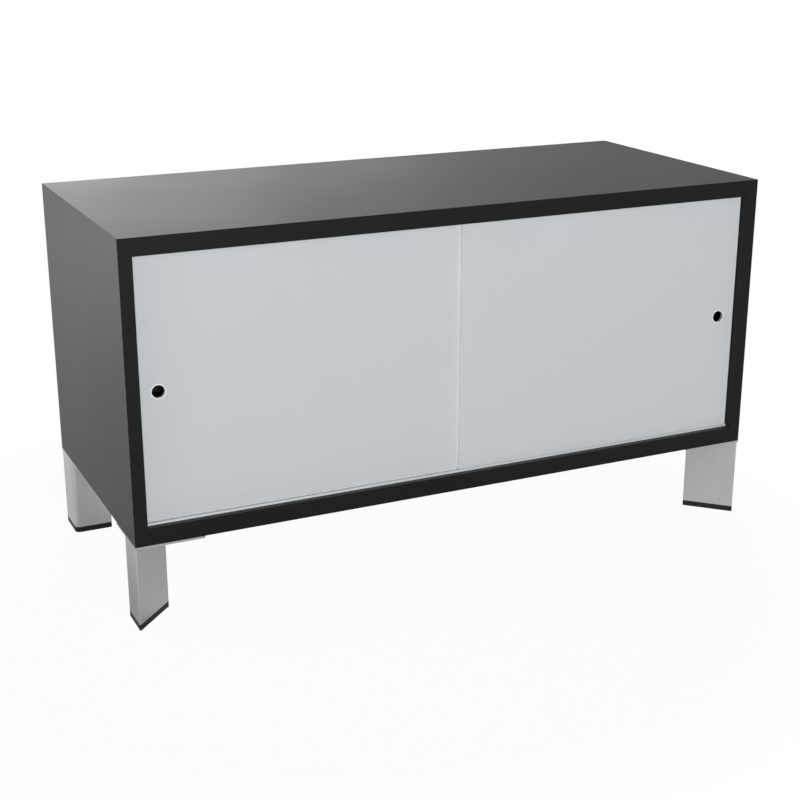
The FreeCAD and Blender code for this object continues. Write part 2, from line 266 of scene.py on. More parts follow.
# ---- finishes
@dataclass(frozen=True)
class Finish:
    """What every finish has: a name, a main colour, roughness, reflection and a relief's depth."""

    name: str
    colour: Colour
    roughness: float
    specular: float = 0.5
    relief: float = 0.02 * MM

    def close(self, recipe: Recipe, colour: Wire, dulling: Wire, height: Wire, **others: Any) -> Material:
        """Close the finish's recipe.

        Args:
            recipe: The recipe.
            colour: The colour all over the piece.
            dulling: What is added to the finish's roughness.
            height: The height of the surface, in shares of its relief.
            **others: Further inputs of the shader.

        Returns:
            The material.
        """
        return recipe.close(
            Base_Color=colour,
            Roughness=dulling + self.roughness,
            Specular_IOR_Level=self.specular,
            Normal=recipe.add("Bump", {}, {"Height": height, "Distance": self.relief}),
            **others,
        )


@dataclass(frozen=True)
class Laminate(Finish):
    """A thin decor skin, closed at its edges, over a chipboard core."""

    cloud_scale: float = 3.5
    cloud_dulling: float = 0.08
    mottle: float = 0.10
    pearl_scale: float = 1300.0
    pearl_dulling: float = 0.06
    speckle: float = 0.16
    arris: float = 1.1 * MM
    wear_scale: float = 160.0
    wear_dulling: float = -0.06
    wear: float = 0.35
    polish: float = 0.2
    skin: float = 0.5 * MM
    core_dark: Colour = (0.23, 0.14, 0.075)
    core_pale: Colour = (0.52, 0.37, 0.22)
    core_dulling: float = 0.3
    flake_scale: float = 420.0
    crumb_scale: float = 500.0
    crumb_height: float = 4.0

    def material(self, low: Vector, high: Vector, ledge: float = 0.0) -> Material:
        """Make the finish of one board.

        Args:
            low: The board's lowest corner.
            high: The board's highest corner.
            ledge: The depth of the strip along its upper front edge that cloths keep polished.

        Returns:
            The material, with the skin on the faces of that box and chipboard inside it.
        """
        recipe = Recipe.named(self.name)
        depth, edge = recipe.depths(low, high)
        cloud = recipe.noise(self.cloud_scale, detail=3.0)
        pearl = recipe.noise(self.pearl_scale)
        rub = 1 - (edge + recipe.noise(self.wear_scale) * self.arris).between(0.0, self.arris)
        tone = cloud * self.mottle + pearl * self.speckle + rub * self.wear + 1
        sockets = {"Vector": recipe.place, "Scale": self.flake_scale}
        flakes = recipe.add("TexVoronoi", {}, sockets, "Color")
        chips = recipe.blend(flakes, rgba(self.core_dark), rgba(self.core_pale))
        core = depth > self.skin
        dulling = cloud * self.cloud_dulling + pearl * self.pearl_dulling
        dulling = dulling + rub * self.wear_dulling + core * self.core_dulling
        if ledge:
            near_front = 1 - (recipe.along("Y") - low.y).between(ledge, ledge + self.arris)
            dulling = dulling - (recipe.along("Z") > high.z - self.skin) * near_front * self.polish
        crumbs = core * recipe.noise(self.crumb_scale) * self.crumb_height
        colour = recipe.blend(core, recipe.shade(self.colour, tone), chips)
        return self.close(recipe, colour, dulling, pearl + crumbs)


@dataclass(frozen=True)
class Lacquer(Finish):
    """A smooth lacquered sheet with bare pale ends, painted light along its framed edges and a pale
    painted-light band at its foot, polished by hands round its finger hole.
    """

    relief: float = 0.015 * MM
    cloud_scale: float = 2.6
    cloud_dulling: float = 0.05
    mottle: float = 0.012
    peel_scale: float = 330.0
    peel: float = 0.004
    smear_scale: float = 38.0
    smear_dulling: float = 0.03
    smear_reach: float = 40 * MM
    handled_start: float = 12 * MM
    handled_radius: float = 65 * MM
    handled_dulling: float = 0.05
    handled: float = -0.008
    rim_width: float = 0.6 * MM
    rim: float = 0.03
    # Painted light: a paler band this wide along the edges that the carcass frames, against the frame's
    # shade.
    painted_light_width: float = 16 * MM
    painted_light: float = 0.06
    # The pale colour of the bare cut ends, also laid along the foot as painted light.
    core: Colour = (0.85, 0.87, 0.885)
    skin: float = 0.35 * MM
    # Height of the pale painted-light band along the foot, where the lip's shadow falls.
    painted_light_foot: float = 4.6 * MM
    painted_light_fade: float = 0.6 * MM

    def material(self, low: Vector, high: Vector, hole: Vector) -> Material:
        """Make the finish of one door.

        Args:
            low: The door's lowest corner.
            high: The door's highest corner.
            hole: The middle of its finger hole, by the end that doesn't meet the other door.

        Returns:
            The material, with painted light near the edges that the carcass frames, against the shade that
            the frame casts there.
        """
        recipe = Recipe.named(self.name)
        _, edge = recipe.depths(low, high)
        cloud = recipe.noise(self.cloud_scale)
        peel = recipe.noise(self.peel_scale, detail=1.0)
        smear = recipe.noise(self.smear_scale, detail=3.0)
        away = recipe.vector("DISTANCE", recipe.place, hole, "Value") + smear * self.smear_reach
        handled = 1 - away.between(self.handled_start, self.handled_radius)
        rim = 1 - edge.between(0.0, self.rim_width)
        beyond = Vector((high.x - low.x, 0.0, 0.0))
        hole_is_left = hole.x < (low.x + high.x) / 2
        framed_box = (low, high + beyond) if hole_is_left else (low - beyond, high)
        # Painted light along the framed edges, which the frame would shade; the meeting end is left out.
        painted_light = 1 - recipe.depths(*framed_box)[1].between(0.0, self.painted_light_width)
        marks = cloud * self.mottle + peel * self.peel + handled * self.handled
        tone = marks + rim * self.rim + painted_light * self.painted_light + 1
        across = recipe.along("X")
        cut_end = 1 - (across - low.x).least(high.x - across).between(0.0, self.skin)
        # Painted light: the pale band along the foot covers the shadow that the lip casts on the door.
        foot = 1 - (recipe.along("Z") - low.z).between(self.painted_light_foot, self.painted_light_foot + self.painted_light_fade)
        sheet = recipe.blend(cut_end.most(foot), rgba(self.colour), rgba(self.core))
        dulling = cloud * self.cloud_dulling + smear * self.smear_dulling + handled * self.handled_dulling
        return self.close(recipe, recipe.shade(sheet, tone), dulling, peel)


@dataclass(frozen=True)
class Extrusion(Finish):
    """A drawn profile with fine lines along it, rubbed inside its channels."""

    line_dulling: float = 0.08
    lines: float = 0.05
    smear_scale: float = 45.0
    smear: float = 0.02
    wall: float = 1.3 * MM
    wall_fade: float = 0.1 * MM
    rubbed_share: float = 0.6
    rubbed_dulling: float = -0.1
    rubbed: float = -0.06

    def material(self, low: Vector, high: Vector) -> Material:
        """Make the finish of a track or of its lip.

        Args:
            low: The profile's lowest corner.
            high: The profile's highest corner.

        Returns:
            The material, darker where the doors rub inside the channels.
        """
        recipe = Recipe.named(self.name)
        depth, _ = recipe.depths(low, high)
        lines = recipe.grain(Grain.ALONG_X)
        smear = recipe.noise(self.smear_scale, detail=3.0)
        rubbed = depth.between(self.wall - self.wall_fade, self.wall) * (smear + self.rubbed_share)
        tone = lines * self.lines + smear * self.smear + rubbed * self.rubbed + 1
        dulling = lines * self.line_dulling + rubbed * self.rubbed_dulling
        return self.close(recipe, recipe.shade(self.colour, tone), dulling, lines)


@dataclass(frozen=True)
class SatinMetal(Finish):
    """Brushed and clear coated metal, with faint handling marks."""

    relief: float = 0.01 * MM
    grain: Grain = Grain.NONE
    metallic: float = 1.0
    rim: float = 1.0
    streak_dulling: float = 0.12
    streak: float = 0.10
    cloud_scale: float = 22.0
    cloud_dulling: float = 0.06
    mottle: float = 0.05
    scratch_scale: float = 60.0
    scratch_limits: Pair = (0.05, 0.09)
    scratch: float = 0.05

    def material(self) -> Material:
        """Make the finish.

        Returns:
            The material.
        """
        recipe = Recipe.named(self.name)
        streaks = recipe.grain(self.grain)
        cloud = recipe.noise(self.cloud_scale, detail=3.0)
        marks = recipe.grain(self.grain) * recipe.noise(self.scratch_scale)
        scratch = marks.between(*self.scratch_limits)
        tone = streaks * self.streak + cloud * self.mottle + scratch * self.scratch + 1
        dulling = streaks * self.streak_dulling + cloud * self.cloud_dulling
        sockets = {"Metallic": self.metallic, "Specular_Tint": rgba((self.rim,) * 3)}
        return self.close(recipe, recipe.shade(self.colour, tone), dulling, streaks, **sockets)


@dataclass(frozen=True)
class Moulded(Finish):
    """Moulded plastic, rubber or pile with a fine texture, scuffed near the floor."""

    specular: float = 0.3
    relief: float = 0.03 * MM
    grit_scale: float = 1500.0
    grit_dulling: float = 0.1
    grit: float = 0.25
    cloud_scale: float = 60.0
    mottle: float = 0.2
    scuff_height: float = 1.5 * MM
    scuff_limits: Pair = (-0.1, 0.2)
    scuff_dulling: float = 0.15
    scuff: float = 0.9

    def material(self) -> Material:
        """Make the finish.

        Returns:
            The material.
        """
        recipe = Recipe.named(self.name)
        grit = recipe.noise(self.grit_scale)
        cloud = recipe.noise(self.cloud_scale, detail=3.0)
        near_floor = 1 - recipe.along("Z").between(0.0, self.scuff_height)
        scuffed = near_floor * cloud.between(*self.scuff_limits)
        tone = grit * self.grit + cloud * self.mottle + scuffed * self.scuff + 1
        dulling = grit * self.grit_dulling + scuffed * self.scuff_dulling
        return self.close(recipe, recipe.shade(self.colour, tone), dulling, grit)


@dataclass(frozen=True)
class Wood(Finish):
    """Bare wood with pores and growth lines along its length."""

    roughness: float = 0.62
    relief: float = 0.05 * MM
    dark: Colour = (0.40, 0.23, 0.115)
    grain: Grain = Grain.ALONG_Z
    fibre_dulling: float = 0.1
    growth_scale: float = 180.0
    growth: float = 0.7
    figure_limits: Pair = (-0.4, 0.4)

    def material(self) -> Material:
        """Make the finish.

        Returns:
            The material.
        """
        recipe = Recipe.named(self.name)
        fibres = recipe.grain(self.grain)
        growth = recipe.noise(self.growth_scale, detail=3.0)
        figure = (fibres + growth * self.growth).between(*self.figure_limits)
        colour = recipe.blend(figure, rgba(self.colour), rgba(self.dark))
        return self.close(recipe, colour, fibres * self.fibre_dulling, fibres)


GRAPHITE = Laminate("graphite_laminate", colour=(0.012, 0.0125, 0.0125), roughness=0.5, specular=0.16)
GRAPHITE_BACK = Laminate("graphite_back", colour=(0.013, 0.0135, 0.0135), roughness=0.55, specular=0.2)
BLACK_EDGING = Laminate("black_edging", colour=(0.0062, 0.0067, 0.0067), roughness=0.45, specular=0.1)
DOOR_LACQUER = Lacquer("door_lacquer", colour=(0.535, 0.560, 0.579), roughness=0.45, specular=0.3)
TRACK_PROFILE = Extrusion("track_profile", colour=(0.86, 0.88, 0.895), roughness=0.42, specular=0.3)
LEG_METAL = SatinMetal("leg_metal", colour=(0.42, 0.42, 0.42), roughness=0.42, grain=Grain.ALONG_Z, rim=0.8)
PLATE_METAL = SatinMetal("plate_metal", colour=(0.33, 0.33, 0.33), roughness=0.45, grain=Grain.ALONG_X)
RING_METAL = SatinMetal("ring_metal", colour=(0.74, 0.75, 0.76), roughness=0.3, metallic=0.5)
SCREW_STEEL = SatinMetal("zinc_screw_steel", colour=(0.55, 0.54, 0.52), roughness=0.32)
PIN_STEEL = SatinMetal("bright_pin_steel", colour=(0.62, 0.61, 0.60), roughness=0.25)
FOOT_PLASTIC = Moulded("foot_plastic", colour=(0.014, 0.014, 0.0145), roughness=0.55, specular=0.15)
BUFFER_RUBBER = Moulded("soft_buffer_rubber", colour=(0.05, 0.05, 0.052), roughness=0.6)
LIP_PROFILE = Extrusion("lip_profile", colour=(0.54, 0.56, 0.575), roughness=0.42, specular=0.3)
SEAL_PILE = Moulded("seal_pile", colour=(0.66, 0.685, 0.70), roughness=0.8)
BEECH = Wood("beech", colour=(0.56, 0.36, 0.20))
PLYWOOD = Wood("plywood", colour=(0.60, 0.44, 0.27), dark=(0.42, 0.28, 0.15), grain=Grain.ALONG_Y)


# ---- mesh building
def corners_of(geometry: Iterable[Any]) -> list[BMVert]:
    """Return the corners among a mixed lot of corners, edges and faces."""
    return [item for item in geometry if isinstance(item, BMVert)]


def add_object(name: str, data: bpy.types.ID) -> bpy.types.Object:
    """Put an object in the scene.

    Args:
        name: The object's name.
        data: The mesh, lamp or camera that it shows.

    Returns:
        The object.
    """
    added = bpy.data.objects.new(name, data)
    bpy.context.scene.collection.objects.link(added)
    return added


class Form:
    """A closed shape in the making, worked with bmesh operators."""

    def __init__(self) -> None:
        """Start with nothing."""
        self.shape = bmesh.new()

    def spin(self, outline: Outline, closed: bool, **turn: Any) -> None:
        """Turn an outline about Z.

        Args:
            outline: The radius and height of each of its points.
            closed: Whether its last point joins its first.
            **turn: The operator's angle, its steps and what else it takes.
        """
        points = [self.shape.verts.new((radius, 0.0, height)) for radius, height in outline]
        pairs = zip(points[-1:] + points, points) if closed else zip(points, points[1:])
        lines = [self.shape.edges.new(pair) for pair in pairs]
        axis = {"cent": (0.0, 0.0, 0.0), "axis": (0.0, 0.0, 1.0)}
        bmesh.ops.spin(self.shape, geom=points + lines, **axis, **turn)

    def lathe(self, profile: Outline, steps: int) -> None:
        """Turn a profile that starts and ends on Z once round it, in so many faces."""
        self.spin(profile, closed=False, angle=tau, steps=steps, use_merge=True)
        self.close()

    def thread(self, radii: Pair, pitch: float, first: float, last: float, steps: int) -> None:
        """Wind a ridge about Z.

        Args:
            radii: The radius of the ridge's foot and of its crest.
            pitch: The rise of one turn.
            first: The height that it starts at.
            last: The height that it ends at.
            steps: The number of faces to one turn.
        """
        foot, crest = radii
        half = pitch * RIDGE_SHARE / 2
        section = ((foot, first - half), (crest, first), (foot, first + half))
        turns = (last - first) / pitch
        count = round(turns * steps)
        rise = (0.0, 0.0, (last - first) / count)
        self.spin(section, closed=True, dvec=rise, angle=turns * tau, steps=count)
        bmesh.ops.holes_fill(self.shape, edges=self.shape.edges, sides=len(section))
        self.close()

    def taper(self, first: float, last: float, start: float, end: float) -> None:
        """Narrow everything between two heights, as a point does.

        Args:
            first: The height that the taper starts at.
            last: The height that it ends at.
            start: The widest radius allowed at its start.
            end: The widest radius allowed at its end.
        """
        for vert in self.shape.verts:
            share = min(max((vert.co.z - first) / (last - first), 0.0), 1.0)
            widest = start + (end - start) * share
            radius = vert.co.xy.length
            if share and radius > widest:
                vert.co.xy *= widest / radius

    def next_ring(self, ring: list[BMEdge]) -> tuple[list[BMVert], list[BMEdge]]:
        """Extrude a ring of edges in place.

        Args:
            ring: The edges.

        Returns:
            The new ring's corners and edges.
        """
        grown = bmesh.ops.extrude_edge_only(self.shape, edges=ring)["geom"]
        verts = corners_of(grown)
        edges = [item for item in grown if isinstance(item, BMEdge) and {*item.verts} <= {*verts}]
        return verts, edges

    def to_circle(self, ring: list[BMEdge], radius: float) -> list[BMEdge]:
        """Draw a ring of edges out flat to an even circle round Z.

        Args:
            ring: The edges that are drawn out.
            radius: The circle's radius.

        Returns:
            The circle's edges.
        """
        verts, edges = self.next_ring(ring)
        verts.sort(key=lambda vert: atan2(vert.co.y, vert.co.x))
        for index, vert in enumerate(verts):
            angle = tau * (index + 0.5) / len(verts) - pi
            vert.co.xy = (radius * cos(angle), radius * sin(angle))
        return edges

    def grow(self, ring: list[BMEdge], radius: float, profile: Outline) -> None:
        """Draw a ring of edges out along Z, and close it at its end.

        Args:
            ring: The edges that are drawn out.
            radius: The ring's own radius.
            profile: The radius and height of each further ring.
        """
        for wider, height in profile:
            verts, ring = self.next_ring(ring)
            for vert in verts:
                vert.co = (*(vert.co.xy * wider / radius), height)
            radius = wider
        bmesh.ops.contextual_create(self.shape, geom=ring)
        self.close()

    def plank(self, outline: Outline, width: float, easing: float) -> None:
        """Give an outline a width and ease its edges.

        Args:
            outline: Its points in X and Z.
            width: Its width along Y.
            easing: How much each edge is rounded.
        """
        points = [self.shape.verts.new((x, -width / 2, z)) for x, z in outline]
        face = bmesh.ops.contextual_create(self.shape, geom=points)["faces"]
        grown = bmesh.ops.extrude_face_region(self.shape, geom=face)["geom"]
        bmesh.ops.translate(self.shape, vec=(0.0, width, 0.0), verts=corners_of(grown))
        self.close()
        self.ease(self.shape.edges[:], easing, EASING_STEPS)

    def ease(self, edges: list[BMEdge], radius: float, segments: int) -> None:
        """Round some edges.

        Args:
            edges: The edges.
            radius: How much they are rounded.
            segments: The number of faces across each.
        """
        bmesh.ops.bevel(
            self.shape,
            geom=edges,
            offset=radius,
            offset_type="OFFSET",
            segments=segments,
            profile=0.5,
            affect="EDGES",
            clamp_overlap=True,
            material=-1,
        )

    def close(self) -> None:
        """Merge what meets and turn every face outwards."""
        bmesh.ops.remove_doubles(self.shape, verts=self.shape.verts, dist=MERGE_REACH)
        bmesh.ops.recalc_face_normals(self.shape, faces=self.shape.faces)

    def repeat(self, places: Iterable[Matrix]) -> None:
        """Put a copy of the shape at each place, and take the first one away.

        Args:
            places: The matrices that turn and move the copies.
        """
        master = self.shape.verts[:] + self.shape.edges[:] + self.shape.faces[:]
        first = self.shape.verts[:]
        for place in places:
            copy = bmesh.ops.duplicate(self.shape, geom=master)["geom"]
            bmesh.ops.transform(self.shape, matrix=place, verts=corners_of(copy))
        bmesh.ops.delete(self.shape, geom=first, context="VERTS")

    def piece(self, name: str, material: Material, slot: str, body: str) -> bpy.types.Object:
        """Make the shape a piece that rides on a body.

        Args:
            name: The piece's name.
            material: What it is finished in.
            slot: Not used.
            body: The body that it moves with.

        Returns:
            The piece.
        """
        mesh = bpy.data.meshes.new(name)
        self.shape.to_mesh(mesh)
        self.shape.free()
        mesh.shade_smooth()
        mesh.set_sharp_from_angle(angle=SHARP_ANGLE)
        mesh.materials.append(material)
        piece = add_object(name, mesh)
        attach(piece, body)
        log.info("built %s in %s", name, material.name)
        return piece

    def stand_for(self, node: str, name: str, material: Material, slot: str) -> None:
        """Make the shape a piece of the cabinet in place of a node."""
        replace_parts(self.piece(name, material, slot, "cabinet"), node)


# ---- dressing
def dress(node: str, material: Material) -> None:
    """Give a node of the frame its material.

    Args:
        node: The node's name.
        material: What it is finished in.
    """
    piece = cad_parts[node]
    piece.data.materials.clear()
    piece.data.materials.append(material)
    log.info("dressed %s in %s", node, material.name)


def dress_boxes(nodes: Iterable[str], finish: Laminate | Extrusion) -> None:
    """Dress nodes in a finish that follows each one's own box."""
    for node in nodes:
        dress(node, finish.material(*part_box(node)))


@dataclass
class Carcass:
    """The four boards with their edgings, the back panel and the tongues in the mitres."""

    boards: tuple[str, ...] = ("top_panel", "bottom_panel", "left_side_panel", "right_side_panel")
    edges: tuple[str, ...] = ("top", "bottom", "left", "right")
    ledge: float = 10 * MM
    tongue_width: float = 14 * MM
    tongue_thickness: float = 4 * MM
    tongue_easing: float = 0.6 * MM

    def build_tongues(self) -> None:
        """Build the loose tongues, each square to its mitre."""
        low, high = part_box("mitre_tongues")
        side_low, side_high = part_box("left_side_panel")
        top_low, top_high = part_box("top_panel")
        slope = atan2(side_high.x - side_low.x, top_high.z - top_low.z)
        half_width, half_thickness = self.tongue_width / 2, self.tongue_thickness / 2
        reach_x = half_width * cos(slope) + half_thickness * sin(slope)
        reach_z = half_width * sin(slope) + half_thickness * cos(slope)
        outline = [(x * half_width, z * half_thickness) for x, z in ((-1, -1), (1, -1), (1, 1), (-1, 1))]
        form = Form()
        form.plank(outline, high.y - low.y, self.tongue_easing)
        middle_y = (low.y + high.y) / 2
        places = []
        for side in (-1, 1):
            for end, z in ((-1, low.z + reach_z), (1, high.z - reach_z)):
                turn = Matrix.Rotation(side * end * slope, 4, "Y")
                places.append(Matrix.Translation((side * (high.x - reach_x), middle_y, z)) @ turn)
        form.repeat(places)
        form.stand_for("mitre_tongues", "loose_tongues", PLYWOOD.material(), "plywood_tongue")

    def build(self) -> None:
        """Build the tongues and dress every node of the carcass that stays."""
        self.build_tongues()
        for node in self.boards:
            ledge = self.ledge if node == "bottom_panel" else 0.0
            dress(node, GRAPHITE.material(*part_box(node), ledge))
        dress_boxes((edge + "_front_edging" for edge in self.edges), BLACK_EDGING)
        dress_boxes(("back_panel",), GRAPHITE_BACK)


@dataclass
class Interior:
    """The divider, the shelves, and the dowels and pins that hold them."""

    boards: tuple[str, ...] = ("centre_divider", "left_shelf", "right_shelf")
    edgings: tuple[str, ...] = ("divider_edging", "left_shelf_edging", "right_shelf_edging")
    pin_radius: float = 2.5 * MM
    pin_length: float = 7.5 * MM
    pin_dome: float = 0.6 * MM
    collar_radius: float = 3.3 * MM
    collar_thickness: float = 0.7 * MM
    spoon_length: float = 8 * MM
    spoon_width: float = 6 * MM
    spoon_lip: float = 1.3 * MM
    web_start: float = 1.05 * MM
    web_end: float = 3.5 * MM
    spoon_corner: float = 2 * MM
    spoon_corner_steps: int = 5
    spoon_easing: float = 0.2 * MM
    dowel_radius: float = 4 * MM
    dowel_length: float = 30 * MM
    dowel_chamfer: float = 1 * MM
    flutes: int = 20
    flute_points: int = 3
    flute_depth: float = 0.3 * MM
    round_steps: int = 32

    def build_pins(self) -> None:
        """Build the shelf pins, each a peg with a collar and a webbed spoon under the shelf."""
        foot = self.pin_radius
        lip = self.spoon_lip - foot
        outline = (
            (-foot, 0.0),
            (foot, 0.0),
            (foot, -self.web_start),
            (lip + self.spoon_lip / 2, -self.web_end),
            (lip, -self.spoon_length),
            (-foot, -self.spoon_length),
        )
        form = Form()
        form.plank(outline, self.spoon_width, self.spoon_easing)
        tip = [edge for edge in form.shape.edges if self.at_tip(edge)]
        form.ease(tip, self.spoon_corner, self.spoon_corner_steps)
        peg = (
            (0.0, -self.collar_thickness),
            (self.collar_radius - self.spoon_easing, -self.collar_thickness),
            (self.collar_radius, self.spoon_easing - self.collar_thickness),
            (self.collar_radius, 0.0),
            (self.pin_radius, 0.0),
            (self.pin_radius, self.pin_length - self.pin_dome),
            (self.pin_radius - self.pin_dome, self.pin_length),
            (0.0, self.pin_length),
        )
        form.lathe(peg, self.round_steps)
        low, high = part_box("shelf_pins")
        divider_low, divider_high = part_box("centre_divider")
        walls = (
            (low.x + self.pin_length, Facing.LEFT),
            (divider_low.x, Facing.RIGHT),
            (divider_high.x, Facing.LEFT),
            (high.x - self.pin_length, Facing.RIGHT),
        )
        rows = (low.y + self.spoon_width / 2, high.y - self.spoon_width / 2)
        height = high.z - foot
        form.repeat(facing.at((x, y, height)) for x, facing in walls for y in rows)
        form.stand_for("shelf_pins", "shelf_spoon_pins", PIN_STEEL.material(), "pin_steel")

    def at_tip(self, edge: BMEdge) -> bool:
        """Tell whether an edge stands at the spoon's tip.

        Args:
            edge: The edge, with up along -X.

        Returns:
            Whether it is one of the tip's upright edges.
        """
        first, second = (vert.co for vert in edge.verts)
        at_end = min(first.z, second.z) < self.spoon_easing * 2 - self.spoon_length
        upright = abs(first.x - second.x) > self.spoon_lip / 3
        return at_end and upright and abs(first.z - second.z) < self.spoon_easing

    def build_dowels(self) -> None:
        """Build the dowels of the divider, fluted and chamfered."""
        form = Form()
        blunt = self.dowel_radius - self.dowel_chamfer / 2
        points = self.flutes * self.flute_points
        end = bmesh.ops.create_circle(form.shape, cap_ends=True, radius=blunt, segments=points)["verts"]
        for vert in end[:: self.flute_points]:
            vert.co.xy *= 1 - self.flute_depth / blunt
        profile = (
            (self.dowel_radius, self.dowel_chamfer),
            (self.dowel_radius, self.dowel_length - self.dowel_chamfer),
            (blunt, self.dowel_length),
        )
        form.grow(form.shape.edges[:], blunt, profile)
        low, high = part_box("divider_dowels")
        first, last = low.y + self.dowel_radius, high.y - self.dowel_radius
        heights = (low.z, high.z - self.dowel_length)
        form.repeat(Facing.UP.at((0.0, y, z)) for y in (first, (first + last) / 2, last) for z in heights)
        form.stand_for("divider_dowels", "fluted_dowels", BEECH.material(), "beech_dowel")

    def build(self) -> None:
        """Build the small parts inside the cabinet and dress its boards and edgings."""
        self.build_pins()
        self.build_dowels()
        dress_boxes(self.boards, GRAPHITE)
        dress_boxes(self.edgings, BLACK_EDGING)


@dataclass
class Doors:
    """The doors with their rings, their tracks with a lip, the seal where they meet and the buffers."""

    button_radius: float = 2.5 * MM
    button_height: float = 1 * MM
    stem_radius: float = 1.5 * MM
    stem_length: float = 6 * MM
    stem_point: float = 0.6 * MM
    dome_steps: int = 6
    round_steps: int = 32
    lip_height: float = 3 * MM
    lip_foot: float = 0.5 * MM
    lip_thickness: float = 1.5 * MM
    lip_top: float = 0.6 * MM
    lip_easing: float = 0.2 * MM
    seal_clearance: float = 0.2 * MM
    seal_end_play: float = 1.5 * MM
    seal_easing: float = 0.1 * MM
    seal_slope: float = 2.0 * MM
    seal_ledge: float = 0.4 * MM

    def build_lip(self) -> None:
        """Build the lip that stands along the front of the lower track and leans on the board."""
        low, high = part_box("lower_track")
        back = self.lip_thickness
        outline = (
            (-self.lip_foot, 0.0),
            (back, 0.0),
            (back, self.lip_height),
            (back - self.lip_top, self.lip_height),
        )
        form = Form()
        form.plank(outline, high.x - low.x, self.lip_easing)
        middle_x = (low.x + high.x) / 2
        form.repeat([Matrix.Translation((middle_x, low.y, high.z)) @ Matrix.Rotation(pi / 2, 4, "Z")])
        lip_low = Vector((low.x, low.y - self.lip_foot, high.z))
        lip_high = Vector((high.x, low.y + back, high.z + self.lip_height))
        form.piece("lower_track_lip", LIP_PROFILE.material(lip_low, lip_high), "track_grey", "cabinet")

    def build_seal(self) -> None:
        """Build the pile strip that closes the gap where the doors meet, its open side sloped."""
        track_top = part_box("lower_track")[1].z
        track_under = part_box("upper_track")[0].z
        rear_low, rear_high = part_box("left_door_panel")
        front_low, front_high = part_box("right_door_panel")
        height = track_under - track_top - 2 * self.seal_end_play
        half_width = (rear_high.x - front_low.x) / 2
        depth = rear_low.y - front_high.y - self.seal_clearance
        outline = (
            (-half_width - self.seal_slope, -depth / 2),
            (half_width, -depth / 2),
            (half_width, depth / 2),
            (-half_width - self.seal_ledge, depth / 2),
        )
        form = Form()
        form.plank(outline, height, self.seal_easing)
        middle = ((rear_high.x + front_low.x) / 2, rear_low.y - depth / 2, (track_top + track_under) / 2)
        form.repeat([Matrix.Translation(middle) @ Matrix.Rotation(pi / 2, 4, "X")])
        form.piece("meeting_seal", SEAL_PILE.material(), "door_grey", "left_door")

    def build_buffers(self) -> None:
        """Build the buffers, each a domed button on a stem."""
        quarter = [index * pi / 2 / self.dome_steps for index in range(self.dome_steps + 1)]
        dome = [(self.button_radius * sin(angle), -self.button_height * cos(angle)) for angle in quarter]
        stem = (
            (self.stem_radius, 0.0),
            (self.stem_radius, self.stem_length - self.stem_point),
            (self.stem_radius - self.stem_point, self.stem_length),
            (0.0, self.stem_length),
        )
        form = Form()
        form.lathe((*dome, *stem), self.round_steps)
        low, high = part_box("door_buffers")
        walls = ((low.x + self.stem_length, Facing.LEFT), (high.x - self.stem_length, Facing.RIGHT))
        rows = (low.y + self.button_radius, high.y - self.button_radius)
        heights = (low.z + self.button_radius, high.z - self.button_radius)
        form.repeat(facing.at((x, y, z)) for x, facing in walls for y in rows for z in heights)
        form.stand_for("door_buffers", "domed_buffers", BUFFER_RUBBER.material(), "buffer_rubber")

    def build(self) -> None:
        """Build the lip, the seal and the buffers and dress the doors, rings and tracks."""
        self.build_lip()
        self.build_seal()
        self.build_buffers()
        for side in ("left", "right"):
            ring_low, ring_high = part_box(side + "_finger_ring")
            hole = (ring_low + ring_high) / 2
            panel = side + "_door_panel"
            dress(panel, DOOR_LACQUER.material(*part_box(panel), hole))
            dress(side + "_finger_ring", RING_METAL.material())
        dress_boxes(("lower_track", "upper_track"), TRACK_PROFILE)


